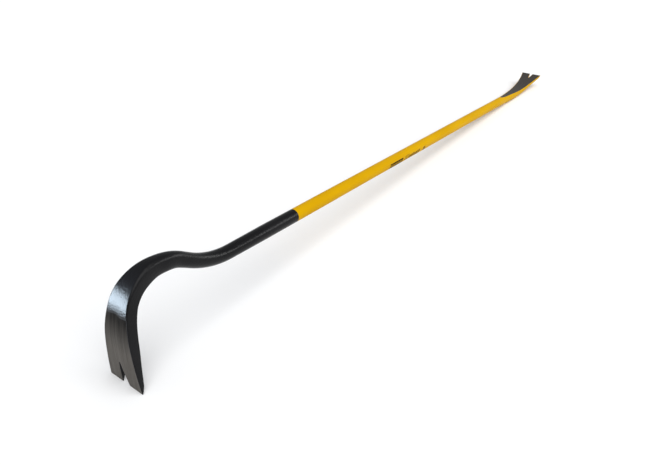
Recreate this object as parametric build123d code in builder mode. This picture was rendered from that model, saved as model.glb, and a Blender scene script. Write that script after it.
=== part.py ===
from build123d import *

import os
from math import acos, asin, atan2, ceil, cos, degrees, hypot, radians, sin, sqrt, tan

# Gooseneck wrecking bar, in millimetres and degrees: one steel forging, painted black over
# its head and yellow over its shaft, then ground bare on its working faces.
# It is drawn with the shaft's axis along X and the paint line at X = 0, and stood on its
# claw points and heel at the end. Outside sizes are over the paint.

# Shaft
overall_length = 1501.0  # end of the back line to the chisel's edge, along the shaft
bar_diameter = 22.2
coat_thickness = 0.4

# Neck, where the round bar is drawn down and rises into the gooseneck
black_shank_length = 144.0  # paint line to the first bend
neck_taper_length = 75.0
neck_diameter = 20.9
neck_bend_radius = 134.0
neck_rise_angle = 30.5
rise_length = 16.5

# Hump and claw, along the back, which is the outside of the hook
hump_radius = 89.5
drop_radius = 60.5
drop_angle = 74.0
root_radius = 166.0
claw_radius = 650.0
claw_length = 69.0
claw_width = 63.0
claw_root_width = 36.9
claw_root_thickness = 16.8
claw_tip_thickness = 5.8
claw_corner_radius = 2.0
claw_ground_length = 104.0  # bare steel on the back, up from the points
claw_bevel_angle = 25.0

# Nail slot in the claw
claw_slot_mouth = 13.5
claw_slot_depth = 35.0
claw_slot_lean = 6.0  # its middle line leans this far from the claw's

# Chisel end
blade_length = 262.0  # edge back to where the bar is still round
blade_width = 55.0
blade_face_drop = 1.9  # the ground face lies this far under the top of the bar
blade_curl_length = 160.0  # edge back to where the ground face starts to rise
blade_flat_length = 49.0
blade_face_radius = 510.0
heel_length = 217.0  # edge back to where the underside starts to rise
heel_radius = 610.0
blade_corner_radius = 2.6
blade_bevel_angle = 22.0

# Nail slot in the chisel end
blade_slot_mouth = 8.0
blade_slot_depth = 24.0

# Printed marks on the shaft
print_thickness = 0.3
print_start = 289.0  # paint line to the first mark
print_lengths = [52.0, 18.0, 12.0, 14.0, 18.0, 12.0]
print_gap = 5.0
print_height = 9.6
print_turn = 86.0  # top of the bar round to the marks' upper edge

slot_end_radius = 0.9
edge_land = 0.8  # thickness left at a cutting edge
grind_depth = 2 * coat_thickness
bar_radius = bar_diameter / 2
neck_radius = neck_diameter / 2
rim = 5.0  # how far a cutting block reaches past what it cuts
reach = 60.0  # half the width of a cut that goes right across
hook_step = 7.0  # longest gap between the hook's sections
blade_steps = 24
round_crown = 22.0  # half the turn of each side of a round section
flat_crown = 1.0  # the same on a flat strap

# The hook's back, as tangent lines and arcs in the XZ plane
with BuildLine(Plane.XZ) as back_line:
    neck_bend = JernArc((-black_shank_length, neck_radius), (-1, 0), neck_bend_radius, -neck_rise_angle)
    rise = PolarLine(neck_bend @ 1, rise_length, direction=neck_bend % 1)
    hump = JernArc(rise @ 1, rise % 1, hump_radius, neck_rise_angle)
    drop = JernArc(hump @ 1, hump % 1, drop_radius, drop_angle)
    root = JernArc(drop @ 1, drop % 1, root_radius, 90 - drop_angle)
    claw = JernArc(root @ 1, root % 1, claw_radius, degrees(claw_length / claw_radius))
stretches = [neck_bend, rise, hump, drop, root, claw]
back_length = sum(stretch.length for stretch in stretches)
claw_point = claw @ 1
claw_heading = claw % 1
claw_inwards = claw_heading.cross(Vector(0, 1, 0))
edge_x = (root @ 1).X + overall_length
blade_start_x = edge_x - blade_length
neck_start_x = neck_taper_length - black_shank_length

# Where the chisel's ground face ends, and the planes the slots are drawn on
curl_turn = asin(blade_curl_length / blade_face_radius)
face_z = bar_radius - blade_face_drop
edge_z = face_z + blade_face_radius * (1 - cos(curl_turn))
edge_heading = Vector(cos(curl_turn), 0, sin(curl_turn))
edge_normal = edge_heading.cross(Vector(0, 1, 0))
claw_slot_plane = Plane(claw_point, x_dir=(0, 1, 0), z_dir=claw_inwards)
blade_slot_plane = Plane((edge_x, 0, edge_z), x_dir=(0, 1, 0), z_dir=edge_normal)

neck_bend_axis = Axis((-black_shank_length, 0, neck_radius + neck_bend_radius), (0, 1, 0))

# The hook's shape: stretch and share of it, then width, thickness, corner radius and crown
hook_shape = [
    (0.0, neck_diameter, neck_diameter, neck_radius, round_crown),
    (1.0, neck_diameter, neck_diameter, neck_radius, round_crown),
    (2.15, 0.94 * neck_diameter, 1.07 * neck_diameter, 0.93 * neck_radius, 21),
    (2.6, neck_diameter, 1.18 * neck_diameter, 0.88 * neck_radius, 14),
    (3.0, 1.02 * neck_diameter, 1.21 * neck_diameter, 0.74 * neck_radius, 9),
    (3.3, 1.2 * neck_diameter, 1.14 * neck_diameter, 0.5 * neck_radius, 5),
    (3.65, 1.49 * neck_diameter, 0.93 * neck_diameter, 0.29 * neck_radius, 2.5),
    (4.0, claw_root_width, claw_root_thickness, 1.1 * claw_corner_radius, 1.2 * flat_crown),
    (5.0, 0.78 * claw_width, 0.88 * claw_root_thickness, claw_corner_radius, flat_crown),
    (5.5, 0.89 * claw_width, 0.65 * claw_root_thickness, claw_corner_radius, flat_crown),
    (6.0, claw_width, claw_tip_thickness, claw_corner_radius, flat_crown),
]

# The chisel end's shape: share of its length, then share of its flare, corner radius and crown
blade_shape = [
    (0.0, 0, bar_radius, round_crown),
    (0.13, 0.01, 0.95 * bar_radius, 20),
    (0.26, 0.07, 0.8 * bar_radius, 14),
    (0.42, 0.17, 0.55 * bar_radius, 9),
    (0.6, 0.29, 0.38 * bar_radius, 5),
    (0.77, 0.47, 1.3 * blade_corner_radius, 3),
    (0.89, 0.69, blade_corner_radius, 2),
    (1.0, 1, blade_corner_radius, 1.5),
]


def arc_rise(radius, run):
    """How far an arc has left its tangent after a run along it."""
    return radius - sqrt(radius**2 - max(run, 0) ** 2)


def back_distance(place):
    """Length along the hook's back to a place, given as stretches and a share of the next."""
    whole = min(int(place), len(stretches) - 1)
    passed = sum(stretch.length for stretch in stretches[:whole])
    return passed + (place - whole) * stretches[whole].length


def smooth(rows, at):
    """Values at a distance, on smooth curves through rows that start with their distance."""
    last = len(rows) - 1
    after = next(i for i in range(1, last + 1) if at <= rows[i][0] or i == last)
    start, end = rows[after - 1], rows[after]
    ahead, behind = rows[min(after + 1, last)], rows[max(after - 2, 0)]
    span = end[0] - start[0]
    u = (at - start[0]) / span
    values = []
    for column in range(1, len(start)):
        slope_in = (end[column] - behind[column]) / (end[0] - behind[0])
        slope_out = (ahead[column] - start[column]) / (ahead[0] - start[0])
        near = start[column] * (1 + 2 * u) + slope_in * span * u
        far = end[column] * (3 - 2 * u) - slope_out * span * (1 - u)
        values.append(near * (1 - u) ** 2 + far * u**2)
    return values


def section(width, thickness, corner, crown, inset):
    """An outline of eight tangent arcs, from a circle to a strap with crowned sides."""
    half_width = width / 2 - inset
    half_thickness = thickness / 2 - inset
    turn = radians(crown)
    corner_share = cos(turn) - sin(turn)
    spread = 1 - cos(turn)
    room = (sin(turn) * half_thickness - spread * half_width) / (sin(turn) - spread)  # beside it, the side's arc
    corner = min(corner - inset, half_width, half_thickness, 0.9 * room / corner_share)
    wide = half_width - corner * corner_share
    deep = half_thickness - corner * corner_share
    split = sin(turn) ** 2 - (1 - cos(turn)) ** 2
    face_radius = (sin(turn) * wide - (1 - cos(turn)) * deep) / split
    side_radius = (sin(turn) * deep - (1 - cos(turn)) * wide) / split
    corner_x = (face_radius - corner) * sin(turn)
    corner_y = (side_radius - corner) * sin(turn)
    face_y = half_thickness - face_radius
    side_x = half_width - side_radius
    corner_turn = 90 - 2 * crown
    with BuildSketch():
        with BuildLine():
            CenterArc((side_x, 0), side_radius, -crown, 2 * crown)
            CenterArc((corner_x, corner_y), corner, crown, corner_turn)
            CenterArc((0, face_y), face_radius, 90 - crown, 2 * crown)
            CenterArc((-corner_x, corner_y), corner, 90 + crown, corner_turn)
            CenterArc((-side_x, 0), side_radius, 180 - crown, 2 * crown)
            CenterArc((-corner_x, -corner_y), corner, 180 + crown, corner_turn)
            CenterArc((0, -face_y), face_radius, 270 - crown, 2 * crown)
            CenterArc((corner_x, -corner_y), corner, 270 + crown, corner_turn)
        outline = make_face()
    return outline


def hook_section(stretch, share, distance, inset):
    """An outline square to the back line, which its outer side touches."""
    rows = [(back_distance(row[0]), *row[1:]) for row in hook_shape]
    width, thickness, corner, crown = smooth(rows, distance)
    heading = stretch % share
    inwards = heading.cross(Vector(0, 1, 0))
    middle = stretch @ share + inwards * thickness / 2
    return Plane(middle, x_dir=(0, 1, 0), z_dir=heading) * section(width, thickness, corner, crown, inset)


def blade_section(share, inset):
    """An outline square to the shaft, between the chisel end's top and underside."""
    flare, corner, crown = smooth(blade_shape, share)
    x = blade_start_x + share * blade_length
    top = bar_radius + arc_rise(blade_face_radius, x - edge_x + blade_curl_length)
    bottom = -bar_radius + arc_rise(heel_radius, x - edge_x + heel_length)
    width = bar_diameter + flare * (blade_width - bar_diameter)
    middle = Plane((x, 0, (top + bottom) / 2), x_dir=(0, 1, 0), z_dir=(1, 0, 0))
    return middle * section(width, top - bottom, corner, crown, inset)


def forging(inset):
    """The whole bar before it is cut, its skin this far inside the paint."""
    hook_sections = []
    passed = neck_bend.length
    for stretch in stretches[1:]:
        steps = ceil(stretch.length / hook_step)
        for share in [step / steps for step in range(steps)]:
            hook_sections.append(hook_section(stretch, share, passed + share * stretch.length, inset))
        passed += stretch.length
    hook_sections.append(hook_section(claw, 1, passed, inset))
    blade_sections = [blade_section(step / blade_steps, inset) for step in range(blade_steps + 1)]
    with BuildPart() as form:
        loft(sections=hook_sections[:2], ruled=True)
        loft(sections=hook_sections[1:], ruled=True)
        with BuildSketch(Plane.YZ.offset(-black_shank_length)):
            Circle(neck_radius - inset)
        revolve(axis=neck_bend_axis, revolution_arc=neck_rise_angle)
        with BuildSketch(Plane.YZ.offset(-black_shank_length)):
            Circle(neck_radius - inset)
        with BuildSketch(Plane.YZ.offset(neck_start_x)):
            Circle(bar_radius - inset)
        loft()
        with BuildSketch(Plane.YZ.offset(neck_start_x)):
            Circle(bar_radius - inset)
        extrude(amount=blade_start_x - neck_start_x)
        loft(sections=blade_sections[:2], ruled=True)
        loft(sections=blade_sections[1:], ruled=True)
    return form.part


def slot(mouth, depth, lean, grow):
    """A V-shaped notch with a rounded end, opening at the origin and running up Y."""
    with BuildSketch() as notch:
        with Locations((depth * tan(radians(lean)), depth - slot_end_radius)):
            Circle(slot_end_radius + grow)
        with Locations((0, -rim / 2)):
            Rectangle(mouth + 2 * grow, rim)
        make_hull()
    return notch.sketch


def slotted(inset):
    """The forging with both its nail slots."""
    with BuildPart() as form:
        add(forging(inset))
        with BuildSketch(claw_slot_plane):
            add(slot(claw_slot_mouth, claw_slot_depth, claw_slot_lean, inset))
        extrude(amount=reach, both=True, mode=Mode.SUBTRACT)
        with BuildSketch(blade_slot_plane):
            add(slot(blade_slot_mouth, blade_slot_depth, 0, inset))
        extrude(amount=reach / 2, both=True, mode=Mode.SUBTRACT)
    return form.part


with BuildPart() as steel:
    add(slotted(coat_thickness))

with BuildPart() as paint:
    add(slotted(0))
    add(steel.part, mode=Mode.SUBTRACT)

# What is ground away after painting
ground_line = back_line.wires()[0].trim(1 - claw_ground_length / back_length, 1)
claw_land = grind_depth + edge_land
claw_bevel_slope = tan(radians(claw_bevel_angle))
claw_bevel_run = claw_root_thickness / claw_bevel_slope
blade_bevel_slope = tan(radians(blade_bevel_angle))
flat_start_x = edge_x - blade_curl_length - blade_flat_length
curl_start_x = edge_x - blade_curl_length
entry_turn = degrees(acos(1 - (blade_face_drop + rim) / blade_face_radius))
exit_turn = degrees(asin((blade_curl_length + rim) / blade_face_radius))
with BuildPart() as grindings:
    # the claw's back
    with BuildSketch(Plane(ground_line @ 0, x_dir=(0, 1, 0), z_dir=ground_line % 0)):
        with Locations((0, (grind_depth - rim) / 2)):
            Rectangle(2 * reach, grind_depth + rim)
    sweep(path=ground_line)
    # the bevel inside the claw
    with BuildSketch(Plane(claw_point, x_dir=claw_inwards, z_dir=(0, -1, 0))):
        Polygon(
            (claw_land - rim * claw_bevel_slope, -rim),
            (claw_land + claw_root_thickness, claw_bevel_run),
            (reach, claw_bevel_run),
            (reach, -rim),
            align=None,
        )
    extrude(amount=reach, both=True)
    # the chisel's upper face
    with BuildSketch(Plane.XZ):
        with BuildLine():
            entry = JernArc((flat_start_x, face_z), (-1, 0), blade_face_radius, -entry_turn)
            Line((flat_start_x, face_z), (curl_start_x, face_z))
            curl = JernArc((curl_start_x, face_z), (1, 0), blade_face_radius, exit_turn)
            Polyline(curl @ 1, (edge_x, reach + edge_z), (flat_start_x, reach + edge_z), entry @ 1)
        make_face()
    extrude(amount=reach, both=True)
    # the bevel under the chisel's edge
    with BuildSketch(Plane((edge_x, 0, edge_z), x_dir=edge_heading * -1, z_dir=(0, -1, 0))):
        Polygon(
            (-rim, edge_land - rim * blade_bevel_slope),
            (blade_width, edge_land + blade_width * blade_bevel_slope),
            (blade_width, reach),
            (-rim, reach),
            align=None,
        )
    extrude(amount=reach, both=True)

with BuildPart() as ground_steel:
    add(steel.part)
    add(grindings.part, mode=Mode.SUBTRACT)

with BuildPart() as ground_paint:
    add(paint.part)
    add(grindings.part, mode=Mode.SUBTRACT)

# Stand it on the claw's points and the heel under the chisel end
toe = claw_point + claw_inwards * grind_depth
heel_run = edge_x - heel_length - toe.X
heel_rise = heel_radius - bar_radius - toe.Z
slope = atan2(heel_rise, heel_run) - asin(heel_radius / hypot(heel_run, heel_rise))
upright = Rot(0, degrees(slope), 0)
box = Compound(children=[upright * ground_steel.part, upright * ground_paint.part]).bounding_box()
stand = Pos(-box.center().X, -box.center().Y, -box.min.Z) * upright

with BuildPart() as forged_bar:
    add(stand * ground_steel.part)

with BuildPart() as black_paint:
    add(ground_paint.part)
    split(bisect_by=Plane.YZ, keep=Keep.BOTTOM)

with BuildPart() as black_coat:
    add(stand * black_paint.part)

with BuildPart() as yellow_paint:
    add(ground_paint.part)
    split(bisect_by=Plane.YZ, keep=Keep.TOP)

with BuildPart() as yellow_coat:
    add(stand * yellow_paint.part)

# The marks, drawn along the top of the bar and turned round it to its side
with BuildPart() as marks:
    mark_start = print_start
    with BuildSketch(Plane.XZ):
        for length in print_lengths:
            with Locations((mark_start + length / 2, bar_radius + print_thickness / 2)):
                Rectangle(length, print_thickness)
            mark_start += length + print_gap
    revolve(axis=Axis.X, revolution_arc=degrees(print_height / bar_radius))

with BuildPart() as shaft_print:
    add(stand * Rot(print_turn, 0, 0) * marks.part)

forged_bar.part.label = "forged_bar"
black_coat.part.label = "black_coat"
yellow_coat.part.label = "yellow_coat"
shaft_print.part.label = "shaft_print"

os.makedirs("parts", exist_ok=True)
export_step(forged_bar.part, "parts/forged_bar.step")
export_step(black_coat.part, "parts/black_coat.step")
export_step(yellow_coat.part, "parts/yellow_coat.step")
export_step(shaft_print.part, "parts/shaft_print.step")
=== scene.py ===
# %% [markdown]
# # A gooseneck wrecking bar
#
# The bar is one steel forging, a metre and a half long. It was dipped black over its head and
# yellow over its shaft, printed, and then ground bare on the back of the claw, on the chisel's
# upper face and under both edges. The scene follows that order: forge a skin, cut it, paint
# it, grind it. All lengths are in millimetres along the straight shaft until the last step,
# which stands the bar on its claw points and heel in the model's own frame, in metres.

from math import acos, asin, atan2, copysign, cos, degrees, hypot, radians, sin, sqrt, tan

import bmesh
import bpy
import numpy as np
from mathutils import Matrix, Vector


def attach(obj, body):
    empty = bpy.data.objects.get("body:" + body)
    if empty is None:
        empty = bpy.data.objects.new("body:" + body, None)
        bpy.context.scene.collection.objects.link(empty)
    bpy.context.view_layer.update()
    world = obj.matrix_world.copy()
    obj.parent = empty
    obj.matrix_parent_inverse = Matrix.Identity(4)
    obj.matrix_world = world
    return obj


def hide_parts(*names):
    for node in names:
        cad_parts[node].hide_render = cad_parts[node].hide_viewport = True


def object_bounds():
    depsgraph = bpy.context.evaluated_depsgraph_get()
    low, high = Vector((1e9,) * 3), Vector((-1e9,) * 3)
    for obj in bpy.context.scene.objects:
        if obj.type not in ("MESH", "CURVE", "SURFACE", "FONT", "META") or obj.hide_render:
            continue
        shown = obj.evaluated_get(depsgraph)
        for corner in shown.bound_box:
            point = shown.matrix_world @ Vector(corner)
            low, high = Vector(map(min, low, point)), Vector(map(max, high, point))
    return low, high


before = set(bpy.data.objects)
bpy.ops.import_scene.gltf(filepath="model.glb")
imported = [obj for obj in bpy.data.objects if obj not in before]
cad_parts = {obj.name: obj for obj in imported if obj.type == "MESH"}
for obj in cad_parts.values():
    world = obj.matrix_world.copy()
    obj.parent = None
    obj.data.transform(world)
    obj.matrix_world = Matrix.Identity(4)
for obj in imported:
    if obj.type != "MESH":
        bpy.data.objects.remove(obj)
cad_low, cad_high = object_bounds()
print("the model fills", [round(v, 4) for v in cad_low], "to", [round(v, 4) for v in cad_high])

# %% [markdown]
# ## Sizes
#
# The same driving sizes as the solid model. A tool like this has no flat drawing to copy: it is
# a round bar whose section slowly changes, so its shape is a line to follow and a section for
# each place along it.

# %% Driving sizes
coat = 0.4
bar_diameter = 22.2
neck_diameter = 20.9
overall_length = 1501.0
black_shank_length = 144.0
neck_taper_length = 75.0
neck_bend_radius = 134.0
neck_rise_angle = 30.5
rise_length = 16.5
hump_radius = 89.5
drop_radius = 60.5
drop_angle = 74.0
root_radius = 166.0
claw_radius = 650.0
claw_width = 63.0
claw_root_width = 36.9
claw_root_thickness = 16.8
claw_tip_thickness = 5.8
claw_corner_radius = 2.0
claw_ground_length = 104.0
claw_length = 69.0
claw_bevel_angle = 25.0
claw_slot_mouth = 13.5
claw_slot_depth = 35.0
claw_slot_lean = 6.0
blade_length = 262.0
blade_width = 55.0
blade_face_drop = 1.9
blade_curl_length = 160.0
blade_flat_length = 49.0
blade_face_radius = 510.0
heel_length = 217.0
heel_radius = 610.0
blade_corner_radius = 2.6
blade_bevel_angle = 22.0
blade_slot_mouth = 8.0
blade_slot_depth = 24.0
slot_end_radius = 0.9
grind_depth = 2 * coat
edge_land = 0.8
bar_radius = bar_diameter / 2
neck_radius = neck_diameter / 2
print("bar", overall_length, "long and", bar_diameter, "across")

# %% [markdown]
# ## The line to follow
#
# The outside of the hook is a chain of arcs and straights, each tangent to the last, as a smith
# bends it round formers. Walking along the chain gives a point and a heading at any distance.

# %% Walk along tangent arcs
back_stretches = [  # radius and turn in degrees, or 0 and a straight length
    (neck_bend_radius, -neck_rise_angle),
    (0, rise_length),
    (hump_radius, neck_rise_angle),
    (drop_radius, drop_angle),
    (root_radius, 90 - drop_angle),
    (claw_radius, degrees(claw_length / claw_radius)),
]


def stretch_length(radius, amount):
    """Length of one stretch of the chain."""
    return radius * radians(abs(amount)) if radius else amount


def walk(distance):
    """Point and heading at a distance down the hook's back; the last arc may be overrun."""
    x, z, heading = -black_shank_length, neck_radius, 180.0
    for number, (radius, amount) in enumerate(back_stretches):
        last = number == len(back_stretches) - 1
        step = distance if last else min(distance, stretch_length(radius, amount))
        if radius:
            side = radians(heading + copysign(90, amount))
            heading += copysign(degrees(step / radius), amount)
            turned = radians(heading + copysign(90, amount))
            x += radius * (cos(side) - cos(turned))
            z += radius * (sin(side) - sin(turned))
        else:
            x += step * cos(radians(heading))
            z += step * sin(radians(heading))
        distance -= step
        if distance <= 0:
            break
    return x, z, heading


def place(stretches):
    """Distance along the back of so many stretches, the last a share of one."""
    whole = min(int(stretches), len(back_stretches) - 1)
    passed = sum(stretch_length(*s) for s in back_stretches[:whole])
    return passed + (stretches - whole) * stretch_length(*back_stretches[whole])


back_length = place(len(back_stretches))
edge_x = walk(place(5))[0] + overall_length
blade_start_x = edge_x - blade_length
print("hook back", round(back_length, 1), "long, chisel edge at", round(edge_x, 1))

# %% [markdown]
# ## The section
#
# One family of outlines covers the whole bar: eight arcs, each tangent to the next. With equal
# radii they make a circle, with flat crowns and tight corners a worn strap. Forged steel never
# has a truly flat side or a sharp corner, and the crown is what bends the highlights.

# %% Section outline
arc_points = 10
round_crown = 22  # half the turn of a crown arc, in degrees, where the section is a circle


def outline(width, thickness, corner, crown, inset):
    """Points round a section, as pairs: across, and out from its middle."""
    half_width = width / 2 - inset
    half_thickness = thickness / 2 - inset
    corner = min(corner - inset, half_width, half_thickness)
    turn = radians(crown)
    share = cos(turn) - sin(turn)
    wide = half_width - corner * share
    deep = half_thickness - corner * share
    split = sin(turn) ** 2 - (1 - cos(turn)) ** 2
    face = (sin(turn) * wide - (1 - cos(turn)) * deep) / split
    side = (sin(turn) * deep - (1 - cos(turn)) * wide) / split
    corner_x = (face - corner) * sin(turn)
    corner_y = (side - corner) * sin(turn)
    quarter = 90 - 2 * crown
    arcs = [
        (half_width - side, 0, side, -crown, 2 * crown),
        (corner_x, corner_y, corner, crown, quarter),
        (0, half_thickness - face, face, 90 - crown, 2 * crown),
        (-corner_x, corner_y, corner, 90 + crown, quarter),
        (side - half_width, 0, side, 180 - crown, 2 * crown),
        (-corner_x, -corner_y, corner, 180 + crown, quarter),
        (0, face - half_thickness, face, 270 - crown, 2 * crown),
        (corner_x, -corner_y, corner, 270 + crown, quarter),
    ]
    points = []
    for middle_x, middle_y, radius, start, sweep in arcs:
        for step in range(arc_points):
            angle = radians(start + sweep * step / arc_points)
            points.append((middle_x + radius * cos(angle), middle_y + radius * sin(angle)))
    return points


def smooth(rows, at):
    """Values at a distance, on smooth curves through rows that start with their distance."""
    last = len(rows) - 1
    after = next(i for i in range(1, last + 1) if at <= rows[i][0] or i == last)
    start, end = rows[after - 1], rows[after]
    ahead, behind = rows[min(after + 1, last)], rows[max(after - 2, 0)]
    span = end[0] - start[0]
    u = (at - start[0]) / span
    values = []
    for column in range(1, len(start)):
        slope_in = (end[column] - behind[column]) / (end[0] - behind[0])
        slope_out = (ahead[column] - start[column]) / (ahead[0] - start[0])
        near = start[column] * (1 + 2 * u) + slope_in * span * u
        far = end[column] * (3 - 2 * u) - slope_out * span * (1 - u)
        values.append(near * (1 - u) ** 2 + far * u**2)
    return values


# %% Shapes of the hook and of the chisel end
hook_shape = [  # place, width, thickness, corner radius, crown
    (0.0, neck_diameter, neck_diameter, neck_radius, round_crown),
    (1.0, neck_diameter, neck_diameter, neck_radius, round_crown),
    (2.15, 0.94 * neck_diameter, 1.07 * neck_diameter, 0.93 * neck_radius, 21),
    (2.6, neck_diameter, 1.18 * neck_diameter, 0.88 * neck_radius, 14),
    (3.0, 1.02 * neck_diameter, 1.21 * neck_diameter, 0.74 * neck_radius, 9),
    (3.3, 1.2 * neck_diameter, 1.14 * neck_diameter, 0.5 * neck_radius, 5),
    (3.65, 1.49 * neck_diameter, 0.93 * neck_diameter, 0.29 * neck_radius, 2.5),
    (4.0, claw_root_width, claw_root_thickness, 1.1 * claw_corner_radius, 1.2),
    (5.0, 0.78 * claw_width, 0.88 * claw_root_thickness, claw_corner_radius, 1),
    (5.5, 0.89 * claw_width, 0.65 * claw_root_thickness, claw_corner_radius, 1),
    (6.0, claw_width, claw_tip_thickness, claw_corner_radius, 1),
]
hook_rows = [(place(row[0]), *row[1:]) for row in hook_shape]
blade_shape = [  # share of the length, share of the flare, corner radius, crown
    (0.0, 0, bar_radius, round_crown),
    (0.13, 0.01, 0.95 * bar_radius, 20),
    (0.26, 0.07, 0.8 * bar_radius, 14),
    (0.42, 0.17, 0.55 * bar_radius, 9),
    (0.6, 0.29, 0.38 * bar_radius, 5),
    (0.77, 0.47, 1.3 * blade_corner_radius, 3),
    (0.89, 0.69, blade_corner_radius, 2),
    (1.0, 1, blade_corner_radius, 1.5),
]


def arc_rise(radius, run):
    """How far an arc has left its tangent after a run along it."""
    return radius - sqrt(radius**2 - max(run, 0) ** 2)


def hook_ring(distance, inset):
    """Points round the hook at a distance along its back."""
    width, thickness, corner, crown = smooth(hook_rows, distance)
    x, z, heading = walk(distance)
    out_x, out_z = sin(radians(heading)), -cos(radians(heading))
    x, z = x - out_x * thickness / 2, z - out_z * thickness / 2
    section = outline(width, thickness, corner, crown, inset)
    return [(x + out_x * v, u, z + out_z * v) for u, v in section]


def round_ring(x, radius, inset):
    """Points round the shaft, where it is a plain circle."""
    return [(x, u, v) for u, v in outline(2 * radius, 2 * radius, radius, round_crown, inset)]


def blade_ring(x, inset):
    """Points round the chisel end, whose face and heel are two arcs."""
    flare, corner, crown = smooth(blade_shape, (x - blade_start_x) / blade_length)
    top = bar_radius + arc_rise(blade_face_radius, x - edge_x + blade_curl_length)
    bottom = -bar_radius + arc_rise(heel_radius, x - edge_x + heel_length)
    width = bar_diameter + flare * (blade_width - bar_diameter)
    middle = (top + bottom) / 2
    return [(x, u, middle + v) for u, v in outline(width, top - bottom, corner, crown, inset)]


print(len(hook_rows), "rows shape the hook and", len(blade_shape), "the chisel end")

# %% [markdown]
# ## Forge the skin
#
# Rings of points are laid along the line and joined by four-sided faces. Close rings where
# the bar bends, few where it is straight. The same function, with an inset, gives the bare
# steel under the paint.

# %% Rings to a closed skin
ring_gap = 1.6
shaft_ring_gap = 120.0


def spaced(start, end, gap):
    """Places from start to end, at most a gap apart."""
    return np.linspace(start, end, int(np.ceil(abs(end - start) / gap)) + 1)


def mesh_from_rings(name, rings):
    """A closed mesh through rings that all have the same number of points."""
    count = len(rings[0])
    points = [point for ring in rings for point in ring]
    faces = []
    for ring in range(len(rings) - 1):
        for i in range(count):
            j = (i + 1) % count
            here, ahead = ring * count, (ring + 1) * count
            faces.append((here + i, here + j, ahead + j, ahead + i))
    faces.append(tuple(reversed(range(count))))
    faces.append(tuple(range((len(rings) - 1) * count, len(rings) * count)))
    mesh = bpy.data.meshes.new(name)
    mesh.from_pydata(points, [], faces)
    fixer = bmesh.new()
    fixer.from_mesh(mesh)
    bmesh.ops.recalc_face_normals(fixer, faces=fixer.faces)
    fixer.to_mesh(mesh)
    fixer.free()
    return mesh


def forged_skin(name, inset):
    """The whole bar as one closed mesh, taken in by an inset."""
    taper_end = neck_taper_length - black_shank_length
    rings = [hook_ring(distance, inset) for distance in spaced(back_length, 0, ring_gap)]
    rings += [round_ring(x, neck_radius + (bar_radius - neck_radius) * share, inset)
              for x, share in ((taper_end - neck_taper_length * (1 - s), s) for s in spaced(0.1, 1, 0.1))]
    shaft_places = spaced(taper_end, blade_start_x, shaft_ring_gap)[1:-1]
    rings += [round_ring(x, bar_radius, inset) for x in shaft_places]
    rings += [blade_ring(x, inset) for x in spaced(blade_start_x, edge_x, ring_gap)]
    return mesh_from_rings(name, rings)


blank = forged_skin("blank", 0)
print("skin of", len(blank.polygons), "faces")

# %% [markdown]
# ## Cutting tools
#
# Nail slots, grinding wheels and bevels are modelled as what they take away: closed blocks that
# are later subtracted. A block made from a strip of points swept across the bar follows the
# curve of the claw or chisel exactly, which a plain box can't.

# %% Blocks that cut
rim = 5.0  # how far a block stands clear of the skin that it cuts
reach = 60.0  # more than the widest part of the bar


def tool(name, rings):
    """A closed block through rings, as an object that others are cut with."""
    piece = bpy.data.objects.new(name, mesh_from_rings(name, rings))
    bpy.context.scene.collection.objects.link(piece)
    return piece


def block(name, profile, half_width, slices=1):
    """A closed block: a profile in the shaft's upright plane, carried across the bar."""
    places = np.linspace(-half_width, half_width, slices + 1)
    return tool(name, [[(x, y, z) for x, z in profile] for y in places])


def slot_block(name, origin, along, through, mouth, depth, lean, grow):
    """A V slot with a rounded end, opening at origin and running along the blade's middle."""
    apex_radius = slot_end_radius + grow
    apex = Vector((depth * tan(radians(lean)), depth - slot_end_radius))
    half_mouth = mouth / 2 + grow
    outline_points = [(half_mouth, -rim), (half_mouth, 0)]
    for side in (1, -1):
        corner = Vector((side * half_mouth, 0))
        to_apex = apex - corner
        tangent = atan2(to_apex.y, to_apex.x) - side * asin(apex_radius / to_apex.length)
        normal = tangent - side * radians(90)
        if side == 1:
            first = normal
        else:
            final = normal
    final += 0 if final > first else radians(360)
    end_steps = 8
    for step in range(end_steps + 1):
        angle = first + (final - first) * step / end_steps
        outline_points.append((apex.x + apex_radius * cos(angle), apex.y + apex_radius * sin(angle)))
    outline_points += [(-half_mouth, 0), (-half_mouth, -rim)]
    rings = []
    for offset in (-reach / 2, reach / 2):
        rings.append([tuple(origin + along * v + Vector((0, u, 0)) + through * offset)
                      for u, v in outline_points])
    return tool(name, rings)


claw_x, claw_z, claw_heading = walk(back_length)
claw_point = Vector((claw_x, 0, claw_z))
claw_up = -Vector((cos(radians(claw_heading)), 0, sin(radians(claw_heading))))
claw_in = Vector((claw_up.z, 0, -claw_up.x))
curl_turn = asin(blade_curl_length / blade_face_radius)
face_z = bar_radius - blade_face_drop
edge_point = Vector((edge_x, 0, face_z + blade_face_radius * (1 - cos(curl_turn))))
edge_back = -Vector((cos(curl_turn), 0, sin(curl_turn)))
edge_up = Vector((-sin(curl_turn), 0, cos(curl_turn)))


def slots(grow):
    """Blocks for both nail slots, each wall moved out by so much."""
    return [
        slot_block("claw_slot", claw_point, claw_up, claw_in,
                   claw_slot_mouth, claw_slot_depth, claw_slot_lean, grow),
        slot_block("chisel_slot", edge_point, edge_back, edge_up,
                   blade_slot_mouth, blade_slot_depth, 0, grow),
    ]


print("slots open at", tuple(round(v, 1) for v in claw_point), tuple(round(v, 1) for v in edge_point))

# %% [markdown]
# The wheel that grinds the claw's back doesn't start with a step. It comes down onto the paint
# over a few millimetres, a little later on one side than the other, so the paint ends in a
# crisp line with a slight wave, as a hand-held grinder leaves it.

# %% Grinding blocks
landing = 14.0  # length over which the wheel comes down
first_touch = 0.5  # how far outside the back it starts
touch_ahead = 10.0  # how far before the paint line it starts
run_up = 6.0
wheel_half_width, wheel_slices = reach / 1.7, 48
wave_height, wave_width = 1.4, 8.5
ripple_height, ripple_width = 0.8, 3.1
skew = 0.125  # how much later it starts for each millimetre across


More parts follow.
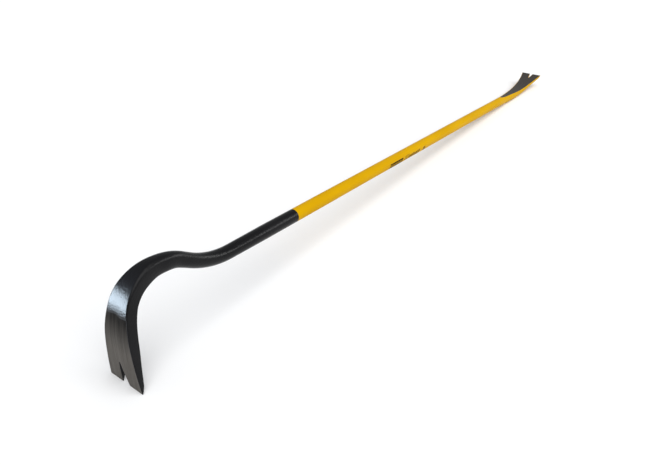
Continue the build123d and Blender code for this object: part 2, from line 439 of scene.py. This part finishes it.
def claw_depth(run, y):
    """How deep the wheel cuts, so far down from where it starts."""
    run += wave_height * sin(y / wave_width) + ripple_height * sin(y / ripple_width + 1.0) - skew * y
    share = min(max(run / landing, 0), 1)
    return -first_touch + (grind_depth + first_touch) * (share * (2 - share))


def claw_wheel():
    """What the wheel takes off the claw's back, as a strip that follows its curve."""
    starts = back_length - claw_ground_length - touch_ahead
    places = spaced(starts - run_up, back_length + rim, ring_gap)
    rings = []
    for y in np.linspace(-wheel_half_width, wheel_half_width, wheel_slices + 1):
        cut, clear = [], []
        for distance in places:
            x, z, heading = walk(distance)
            out_x, out_z = sin(radians(heading)), -cos(radians(heading))
            depth = claw_depth(distance - starts, y)
            cut.append((x - out_x * depth, y, z - out_z * depth))
            clear.append((x + out_x * rim, y, z + out_z * rim))
        rings.append(cut + clear[::-1])
    return tool("claw_wheel", rings)


def chisel_wheel():
    """What the wheel takes off the chisel's upper face: a run-in, a flat and the curl."""
    flat_start = edge_x - blade_curl_length - blade_flat_length
    curl_start = edge_x - blade_curl_length
    entry_turn = acos(1 - (blade_face_drop + rim) / blade_face_radius)
    exit_turn = asin((blade_curl_length + rim) / blade_face_radius)
    radius = blade_face_radius
    turn_step = 0.004
    entry = [(flat_start - radius * sin(a), face_z + radius * (1 - cos(a)))
             for a in spaced(entry_turn, 0, turn_step)]
    curl = [(curl_start + radius * sin(a), face_z + radius * (1 - cos(a)))
            for a in spaced(0, exit_turn, turn_step)]
    top = edge_point.z + reach
    clear = [(edge_x + rim, top), (flat_start - reach, top)]
    return block("chisel_wheel", entry + curl + clear, reach, slices=24)


def bevel(name, point, back, inward, land, angle, depth):
    """A wedge that leaves an edge of the given land and opens towards the inside."""
    slope = tan(radians(angle))
    run = depth / slope
    corners = [(-rim, land - rim * slope), (run, land + depth), (run, reach), (-rim, reach)]
    places = [point + back * b + inward * w for b, w in corners]
    return block(name, [(spot.x, spot.z) for spot in places], reach)


wheels = [
    claw_wheel(),
    chisel_wheel(),
    bevel("claw_bevel", claw_point, claw_up, claw_in,
          grind_depth + edge_land, claw_bevel_angle, claw_root_thickness),
    bevel("chisel_bevel", edge_point, edge_back, -edge_up,
          edge_land, blade_bevel_angle, bar_diameter),
]
print("blocks:", [wheel.name for wheel in wheels])

# %% [markdown]
# ## Cut, paint and grind
#
# The steel is the forging taken in by the paint's thickness, with wider slots. The paint is the
# outer skin less the steel, so it is a real thin shell that hugs the bar, and each wheel then
# goes through both. Subtracting with the manifold solver keeps every piece closed.

# %% Subtract and keep
def taken_from(name, mesh, tools):
    """A new closed piece: the mesh with each tool's volume taken away."""
    piece = bpy.data.objects.new(name, mesh.copy())
    bpy.context.scene.collection.objects.link(piece)
    for cutter in tools:
        cut = piece.modifiers.new(cutter.name, "BOOLEAN")
        cut.object = cutter
        cut.operation = "DIFFERENCE"
        cut.solver = "MANIFOLD"
    bpy.context.view_layer.update()
    evaluated = piece.evaluated_get(bpy.context.evaluated_depsgraph_get())
    finished = bpy.data.meshes.new_from_object(evaluated)
    piece.modifiers.clear()
    piece.data = finished
    return piece


def discard(pieces):
    """Removes objects that have done their work."""
    for piece in pieces:
        bpy.data.objects.remove(piece)


steel_mesh = forged_skin("steel", coat)
steel_slots, paint_slots = slots(coat), slots(0)
uncut_steel = taken_from("uncut_steel", steel_mesh, steel_slots)
steel = taken_from("forged_bar_mesh", uncut_steel.data, wheels)
paint = taken_from("paint", blank, paint_slots + [uncut_steel] + wheels)
print("steel", len(steel.data.polygons), "faces, paint", len(paint.data.polygons))

# %% Part the two paints at the paint line
far = 3000.0
shaft_side = block("shaft_side", [(0, -far), (far, -far), (far, far), (0, far)], far)
head_side = block("head_side", [(0, -far), (-far, -far), (-far, far), (0, far)], far)
black_paint = taken_from("black_paint", paint.data, [shaft_side])
yellow_paint = taken_from("yellow_paint", paint.data, [head_side])
discard(steel_slots + paint_slots + wheels + [uncut_steel, paint, shaft_side, head_side])
print("black", len(black_paint.data.polygons), "faces, yellow", len(yellow_paint.data.polygons))

# %% [markdown]
# ## Printed marks
#
# The shaft carries a line of print: a long box filled with slanted strokes, then shorter
# strokes, then one last mark. Here they say nothing. Marks repeat and follow a surface, which
# suits Geometry Nodes: strokes are laid flat along a line, rolled round the shaft, then given
# the thickness of ink.

# %% A helper for nodes of every kind
def add_node(tree, kind, inputs=None, **settings):
    """A new node with its settings, and its inputs linked or filled in."""
    node = tree.nodes.new(kind)
    for name, value in settings.items():
        setattr(node, name, value)
    for key, value in (inputs or {}).items():
        if isinstance(value, bpy.types.NodeSocket):
            tree.links.new(value, node.inputs[key])
        else:
            node.inputs[key].default_value = value
    return node


# %% [markdown]
# A finish here is one shader fed by a few noises. Each noise has a grain size in metres, so it
# stays the same on every piece, and it may be stretched along an axis. A ramp turns it into a
# colour, a gloss or a height. Image files could do the same, but would not fit the next bar.

# %% Helpers for finishes
def finish(name, colour, roughness, specular=0.5, metallic=0.0):
    """A material with one shader, whose even settings are set on its own sockets."""
    material = bpy.data.materials.new(name)
    material.use_nodes = True
    tree = material.node_tree
    shader = tree.nodes["Principled BSDF"]
    shader.inputs["Base Color"].default_value = (*colour, 1)
    shader.inputs["Roughness"].default_value = roughness
    shader.inputs["Specular IOR Level"].default_value = specular
    shader.inputs["Metallic"].default_value = metallic
    place = add_node(tree, "ShaderNodeTexCoord").outputs["Object"]
    return material, tree, shader, place


def grain(tree, place, size, stretch=(1, 1, 1), detail=3.0, seed=0.0):
    """Noise whose grains are `size` metres wide, stretched along each axis."""
    scale = [1 / (size * s) for s in stretch]
    spot = add_node(tree, "ShaderNodeMapping",
                    {"Vector": place, "Scale": scale, "Location": (seed, seed, seed)}).outputs[0]
    return add_node(tree, "ShaderNodeTexNoise",
                    {"Vector": spot, "Scale": 1.0, "Detail": detail}).outputs[0]


def ramp(tree, value, low, high, start=0.0, end=1.0):
    """Maps low..high onto start..end and holds the ends."""
    limits = {"From Min": low, "From Max": high, "To Min": start, "To Max": end}
    return add_node(tree, "ShaderNodeMapRange", {"Value": value, **limits}).outputs[0]


def mix(tree, amount, first, second):
    """Blends two colours by an amount."""
    node = add_node(tree, "ShaderNodeMix", data_type="RGBA")
    for index, value in ((0, amount), (6, first), (7, second)):
        if isinstance(value, bpy.types.NodeSocket):
            tree.links.new(value, node.inputs[index])
        else:
            node.inputs[index].default_value = (*value, 1) if index else value
    return node.outputs[2]


def dent(tree, height, strength, distance, under=None):
    """A bump of the given depth in metres, on top of another."""
    inputs = {"Height": height, "Strength": strength, "Distance": distance}
    if under is not None:
        inputs["Normal"] = under
    return add_node(tree, "ShaderNodeBump", inputs).outputs[0]


# %% [markdown]
# The ink is rolled on and sinks unevenly into the enamel's skin, so it is dull and a little
# paler in patches about a millimetre wide.

# %% Ink
ink_full, ink_thin = (0.008, 0.004, 0.002), (0.05, 0.03, 0.004)


def ink_finish():
    """Dull ink that thins in patches."""
    material, tree, shader, place = finish("printing_ink", ink_full, 0.6, 0.05)
    patch = grain(tree, place, 0.0012, detail=3.0)
    inked = mix(tree, ramp(tree, patch, 0.5, 0.8), ink_full, ink_thin)
    tree.links.new(inked, shader.inputs["Base Color"])
    tree.links.new(dent(tree, patch, 0.2, 0.00005), shader.inputs["Normal"])
    return material


printing_ink = ink_finish()
print("ink:", printing_ink.name)

# %% [markdown]
# Each stroke could be drawn by hand, but its place on the round shaft then has to be worked out
# every time. The tree takes the sizes as inputs instead: it lays strokes on a flat line, gives
# each its own height from a fixed seed, rolls them round the shaft and raises them.

# %% The stroke tree
stroke_inputs = {
    "First stroke": 0.0, "Pitch": 5.0, "Count": 1, "Length": 3.0, "Height": 9.6,
    "Unevenness": 0.0, "Slant": 0.0, "Turn": 1.9, "Radius": 11.1, "Thickness": 0.12, "Seed": 3,
}
weld = 0.001  # points closer than this become one


def maths(tree, operation, first, second=0.0):
    """One sum of two numbers."""
    return add_node(tree, "ShaderNodeMath", {0: first, 1: second}, operation=operation).outputs[0]


def vector(tree, **parts):
    """A vector from its parts, which may be links."""
    return add_node(tree, "ShaderNodeCombineXYZ", parts).outputs[0]


def flat_strokes(tree, given):
    """Strokes laid flat along a line, each with its own height."""
    line = add_node(tree, "GeometryNodeMeshLine",
                    {"Count": given["Count"], "Start Location": vector(tree, X=given["First stroke"]),
                     "Offset": vector(tree, X=given["Pitch"])}).outputs[0]
    stroke = add_node(tree, "GeometryNodeMeshGrid",
                      {"Size X": given["Length"], "Size Y": 1.0,
                       "Vertices X": 4, "Vertices Y": 14}).outputs[0]
    chance = add_node(tree, "FunctionNodeRandomValue",
                      {2: maths(tree, "SUBTRACT", 1.0, given["Unevenness"]), 3: 1.0,
                       "Seed": given["Seed"]}, data_type="FLOAT").outputs[1]
    size = vector(tree, X=1.0, Y=maths(tree, "MULTIPLY", given["Height"], chance), Z=1.0)
    laid = add_node(tree, "GeometryNodeInstanceOnPoints",
                    {"Points": line, "Instance": stroke, "Scale": size}).outputs[0]
    return add_node(tree, "GeometryNodeRealizeInstances", {0: laid}).outputs[0]


def rolled_on(tree, flat, given):
    """Flat strokes slanted, then rolled round the shaft."""
    position = add_node(tree, "GeometryNodeInputPosition").outputs[0]
    along, up = add_node(tree, "ShaderNodeSeparateXYZ", {0: position}).outputs[:2]
    angle = maths(tree, "ADD", given["Turn"], maths(tree, "DIVIDE", up, given["Radius"]))
    sideways = maths(tree, "MULTIPLY", maths(tree, "SINE", angle), given["Radius"])
    on_shaft = vector(tree, X=maths(tree, "SUBTRACT", along, maths(tree, "MULTIPLY", up, given["Slant"])),
                      Y=maths(tree, "MULTIPLY", sideways, -1.0),
                      Z=maths(tree, "MULTIPLY", maths(tree, "COSINE", angle), given["Radius"]))
    return add_node(tree, "GeometryNodeSetPosition", {"Geometry": flat, "Position": on_shaft}).outputs[0]


def raised(tree, skin, given):
    """A skin given the ink's thickness and closed underneath."""
    top = add_node(tree, "GeometryNodeExtrudeMesh",
                   {"Mesh": skin, "Offset Scale": given["Thickness"], "Individual": False}).outputs[0]
    under = add_node(tree, "GeometryNodeFlipFaces", {"Mesh": skin}).outputs[0]
    both = add_node(tree, "GeometryNodeJoinGeometry")
    tree.links.new(top, both.inputs[0])
    tree.links.new(under, both.inputs[0])
    return add_node(tree, "GeometryNodeMergeByDistance",
                    {"Geometry": both.outputs[0], "Distance": weld}).outputs[0]


def stroke_tree():
    """The whole tree: lay, roll, raise and ink."""
    tree = bpy.data.node_groups.new("printed strokes", "GeometryNodeTree")
    for name, value in stroke_inputs.items():
        kind = "NodeSocketInt" if isinstance(value, int) else "NodeSocketFloat"
        tree.interface.new_socket(name, in_out="INPUT", socket_type=kind).default_value = value
    tree.interface.new_socket("Ink", in_out="INPUT", socket_type="NodeSocketMaterial")
    tree.interface.new_socket("Geometry", in_out="OUTPUT", socket_type="NodeSocketGeometry")
    given = add_node(tree, "NodeGroupInput").outputs
    closed = raised(tree, rolled_on(tree, flat_strokes(tree, given), given), given)
    inked = add_node(tree, "GeometryNodeSetMaterial",
                     {"Geometry": closed, "Material": given["Ink"]}).outputs[0]
    add_node(tree, "NodeGroupOutput", {"Geometry": inked})
    return tree


strokes = stroke_tree()
print("stroke tree of", len(strokes.nodes), "nodes")

# %% Print the marks
def printed(name, **sizes):
    """One run of strokes as a plain mesh object."""
    run = bpy.data.objects.new(name, bpy.data.meshes.new(name))
    bpy.context.scene.collection.objects.link(run)
    maker = run.modifiers.new("strokes", "NODES")
    maker.node_group = strokes
    for item in strokes.interface.items_tree:
        if item.in_out == "INPUT":
            given = sizes.get(item.name.lower().replace(" ", "_"), item.default_value)
            maker[item.identifier] = printing_ink if item.name == "Ink" else given
    bpy.context.view_layer.update()
    evaluated = run.evaluated_get(bpy.context.evaluated_depsgraph_get())
    mesh = bpy.data.meshes.new_from_object(evaluated)
    run.modifiers.clear()
    run.data = mesh
    return run


middle_turn = radians(105)
border = 4.6 / bar_radius
print_runs = [
    printed("box_top", first_stroke=316.5, length=51.0, height=2.2, turn=middle_turn - border),
    printed("box_foot", first_stroke=313.5, length=51.0, height=2.2, turn=middle_turn + border),
    printed("box_strokes", first_stroke=291.5, pitch=4.7, count=11, length=3.9, height=9.0,
            slant=0.35, turn=middle_turn),
    printed("tall_strokes", first_stroke=352.0, pitch=6.2, count=3, length=5.2, height=12.5,
            unevenness=0.2, slant=0.5, turn=radians(102), seed=5),
    printed("strokes", first_stroke=371.0, pitch=6.6, count=7, length=5.0, height=10.0,
            unevenness=0.45, slant=0.5, turn=radians(104), seed=8),
    printed("last_mark", first_stroke=433.5, length=8.5, height=9.0, slant=0.45, turn=radians(103)),
]
with bpy.context.temp_override(active_object=print_runs[0], selected_editable_objects=print_runs):
    bpy.ops.object.join()
shaft_print = print_runs[0]
print("print of", len(shaft_print.data.polygons), "faces")

# %% [markdown]
# ## Stand it up
#
# The bar rests on the points of its claw and on the heel under the chisel. The tangent from the
# claw's point to the heel's arc gives the tilt; the model's own box gives the place.

# %% Into the model's frame
toe = claw_point + claw_in * grind_depth
heel_run = edge_x - heel_length - toe.x
heel_rise = heel_radius - bar_radius - toe.z
tilt = atan2(heel_rise, heel_run) - asin(heel_radius / hypot(heel_run, heel_rise))
upright = Matrix.Rotation(tilt, 4, "Y")
pieces = (steel, black_paint, yellow_paint)
turned = [upright @ v.co for piece in pieces for v in piece.data.vertices]
low_x, high_x = min(v.x for v in turned), max(v.x for v in turned)
floor_z = min(v.z for v in turned)
cad_middle = (cad_low + cad_high) / 2
shift = Vector((1000 * cad_middle.x - (low_x + high_x) / 2, 1000 * cad_middle.y,
                1000 * cad_low.z - floor_z))
to_frame = Matrix.Scale(0.001, 4) @ Matrix.Translation(shift) @ upright
sharp_from = radians(26)  # ground edges stay sharp, rings shade smooth
print("tilted", round(degrees(tilt), 2), "degrees")


def settle(piece, name, node):
    """Puts a piece in the frame, shades it, names it and hides the solid-model part it stands in for."""
    piece.name = name
    piece.data.name = name
    piece.data.transform(to_frame)
    for polygon in piece.data.polygons:
        polygon.use_smooth = True
    piece.data.set_sharp_from_angle(angle=sharp_from)
    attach(piece, "root")
    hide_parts(node)


settle(steel, "bare_forging", "forged_bar")
settle(black_paint, "black_paint_coat", "black_coat")
settle(yellow_paint, "yellow_paint_coat", "yellow_coat")
settle(shaft_print, "printed_marks", "shaft_print")

# %% [markdown]
# ## Finishes
#
# The ink is made, and three finishes are left. The ground steel has scratches that follow the
# tool's length: a noise whose grains are under half a millimetre wide across the bar and sixty
# times as long along it. Just below the paint line on the claw it is painted darker, a painted
# shade where the ground face mirrors little light. Patterns read the object's own
# coordinates, in metres.

# %% Bare steel
line_x, line_z, _ = walk(back_length - claw_ground_length)
line_height = (to_frame @ Vector((line_x, 0, line_z))).z
# painted shade: the steel is coloured darker over this height below the claw's paint line
painted_shade_depth = 0.05  # how far below the paint the steel stays dark
steel_pale = (0.122, 0.109, 0.094)
steel_dark = (0.056, 0.049, 0.041)
steel_worn = (0.09, 0.08, 0.069)
# painted shade: the colour of the dark band just below the paint line
steel_painted_shade = (0.006, 0.005, 0.0045)


def steel_finish():
    """Ground steel: fine and coarse marks, worn clouds, and painted shade just below the paint line."""
    material, tree, shader, place = finish("ground_steel", steel_pale, 0.45, metallic=1.0)
    fine = grain(tree, place, 0.00045, (60, 1, 60), 2.0)
    coarse = grain(tree, place, 0.0022, (30, 1, 30), 2.0, 4.0)
    cloud = grain(tree, place, 0.018, (1.5, 0.7, 1.5), 3.0, 7.0)
    height = add_node(tree, "ShaderNodeSeparateXYZ", {0: place}).outputs[2]
    ragged = maths(tree, "ADD", ramp(tree, coarse, 0.3, 0.7, -0.006, 0.006), height)
    bright = mix(tree, ramp(tree, fine, 0.3, 0.7), steel_dark, steel_pale)
    worn = mix(tree, ramp(tree, cloud, 0.35, 0.7), bright, steel_worn)
    # painted shade: the steel darkens towards the paint line over the last 50 mm below it
    shade_painted = mix(tree, ramp(tree, ragged, line_height - painted_shade_depth, line_height), worn, steel_painted_shade)
    tree.links.new(shade_painted, shader.inputs["Base Color"])
    tree.links.new(ramp(tree, coarse, 0.3, 0.7, 0.4, 0.55), shader.inputs["Roughness"])
    scratched = dent(tree, fine, 0.35, 0.00008)
    tree.links.new(dent(tree, coarse, 0.25, 0.0003, scratched), shader.inputs["Normal"])
    return material


ground_steel = steel_finish()
print("paint ends on the claw", round(1000 * line_height, 1), "mm above the floor")

# %% [markdown]
# Both enamels are laid on thick, so their skin has orange peel: a bump of soft grains about two
# millimetres wide, with dust in it and slow drifts in colour and gloss. The black is the
# glossier. One function makes both, since they differ only in numbers.

# %% Paints
def paint_finish(name, colour, shade, gloss, specular, peel):
    """Sprayed enamel: a colour and its duller drift, a gloss range and the depth of its peel."""
    material, tree, shader, place = finish(name, colour, gloss[0], specular)
    drift = grain(tree, place, 0.035, (2.5, 1, 1), 4.0, 2.0)
    skin = grain(tree, place, 0.0024, detail=1.5)
    dust = grain(tree, place, 0.0006, detail=2.0, seed=5.0)
    tree.links.new(mix(tree, ramp(tree, drift, 0.35, 0.7), colour, shade), shader.inputs["Base Color"])
    tree.links.new(ramp(tree, drift, 0.3, 0.7, *gloss), shader.inputs["Roughness"])
    peeled = dent(tree, skin, 0.5, peel)
    tree.links.new(dent(tree, dust, 0.12, 0.00008, peeled), shader.inputs["Normal"])
    return material


black_enamel = paint_finish(
    "black_enamel", colour=(0.002, 0.002, 0.0025), shade=(0.004, 0.004, 0.0046),
    gloss=(0.24, 0.34), specular=0.15, peel=0.0005)
yellow_enamel = paint_finish(
    "yellow_enamel", colour=(0.6, 0.335, 0.0006), shade=(0.55, 0.3, 0.0006),
    gloss=(0.38, 0.48), specular=0.03, peel=0.00025)
print("enamels:", black_enamel.name, yellow_enamel.name)

# %% Dress the pieces
dressed = ((steel, ground_steel), (black_paint, black_enamel),
           (yellow_paint, yellow_enamel), (shaft_print, printing_ink))
for piece, material in dressed:
    piece.data.materials.clear()
    piece.data.materials.append(material)
    piece.data.polygons.foreach_set("material_index", [0] * len(piece.data.polygons))
print("finishes:", {piece.name: material.name for piece, material in dressed})

# %% [markdown]
# ## Studio
#
# A plain white floor, an even white sky and one wide soft lamp overhead. Black enamel shows its
# shape only by what it mirrors, so it gets two panels of its own: a low one beside the claw,
# for the long highlight down its back, and a long strip for the line along the black shank.

# %% Floor
floor_mesh = bpy.data.meshes.new("floor")
floor_reach = 14.0
floor_corners = [(-floor_reach, -floor_reach, 0), (floor_reach, -floor_reach, 0),
                 (floor_reach, floor_reach, 0), (-floor_reach, floor_reach, 0)]
floor_mesh.from_pydata(floor_corners, [], [(0, 1, 2, 3)])
studio_floor = bpy.data.objects.new("floor", floor_mesh)
bpy.context.scene.collection.objects.link(studio_floor)
studio_floor.location.z = cad_low.z - 0.0005  # just under the points, so no faces coincide
floor_mesh.materials.append(finish("pale_floor", (0.88, 0.88, 0.88), 0.9, 0.1)[0])
print("floor reaches", floor_reach, "m each way")

# %% Sky
world = bpy.data.worlds.new("studio")
world.use_nodes = True
world.node_tree.nodes["Background"].inputs["Color"].default_value = (0.95, 0.97, 1.0, 1)
sky = world.node_tree.nodes["Background"].inputs["Strength"]
seen = add_node(world.node_tree, "ShaderNodeLightPath").outputs["Is Camera Ray"]
sky_light, sky_looks = 0.5, 1.05  # it lights softly, but looks white
world.node_tree.links.new(ramp(world.node_tree, seen, 0.0, 1.0, sky_light, sky_looks), sky)
bpy.context.scene.world = world
print("sky:", sky_light, "as light,", sky_looks, "to look at")


# %% Lamps
def aim(thing, towards):
    """Turns a lamp to face along a direction."""
    thing.rotation_euler = Vector(towards).to_track_quat("-Z", "Y").to_euler()


dark_pieces = bpy.data.collections.new("lit_by_highlight_panels")
dark_pieces.objects.link(black_paint)


def lamp(name, kind, energy, place, towards, lights=None, **settings):
    """A lamp that the camera can't see; it lights everything, or one collection."""
    light = bpy.data.lights.new(name, kind)
    light.energy = energy
    for key, value in settings.items():
        setattr(light, key, value)
    thing = bpy.data.objects.new(name, light)
    thing.location = place
    aim(thing, towards)
    thing.visible_camera = False
    if lights:
        thing.light_linking.receiver_collection = lights
    bpy.context.scene.collection.objects.link(thing)
    return thing


lamp("overhead", "SUN", 2.65, (0, 0, 3), (0.12, 0.6, -1), angle=radians(70))
claw_top = Vector((cad_low.x, 0, line_height + 0.02))
panel_place = claw_top + 0.3 * Vector((-0.7, 0.69, 0.06))
lamp("claw_panel", "AREA", 4.4, panel_place, claw_top - panel_place, dark_pieces,
     shape="RECTANGLE", size=0.2, size_y=0.16, color=(0.72, 0.86, 1.0))
strip_place = Vector((0, 0, 0.05)) + 2.4 * Vector((0.68, -0.61, 0.363))
lamp("side_strip", "AREA", 29.0, strip_place, -strip_place, dark_pieces,
     shape="RECTANGLE", size=3.0, size_y=0.35)

# %% [markdown]
# The camera stands close to the claw with a wide lens, so the claw looks large and the shaft
# runs away to a small chisel. Each row of its matrix is one of the world's axes, in the
# camera's own directions.

# %% Camera
camera_place = (-1.0056, -0.4853, 0.5425)
camera_axes = Matrix(((0.5894, 0.4318, -0.6828), (-0.8078, 0.3236, -0.4927), (0.0082, 0.8419, 0.5395)))
camera = bpy.data.objects.new("camera", bpy.data.cameras.new("camera"))
camera.data.sensor_width = 36.0
camera.data.lens = 31.26
camera.matrix_world = Matrix.Translation(camera_place) @ camera_axes.normalized().to_4x4()
camera.data.clip_start = 0.01
bpy.context.scene.collection.objects.link(camera)
bpy.context.scene.camera = camera
bpy.context.scene.view_settings.view_transform = "Standard"
print("camera", camera_place, "lens", camera.data.lens)
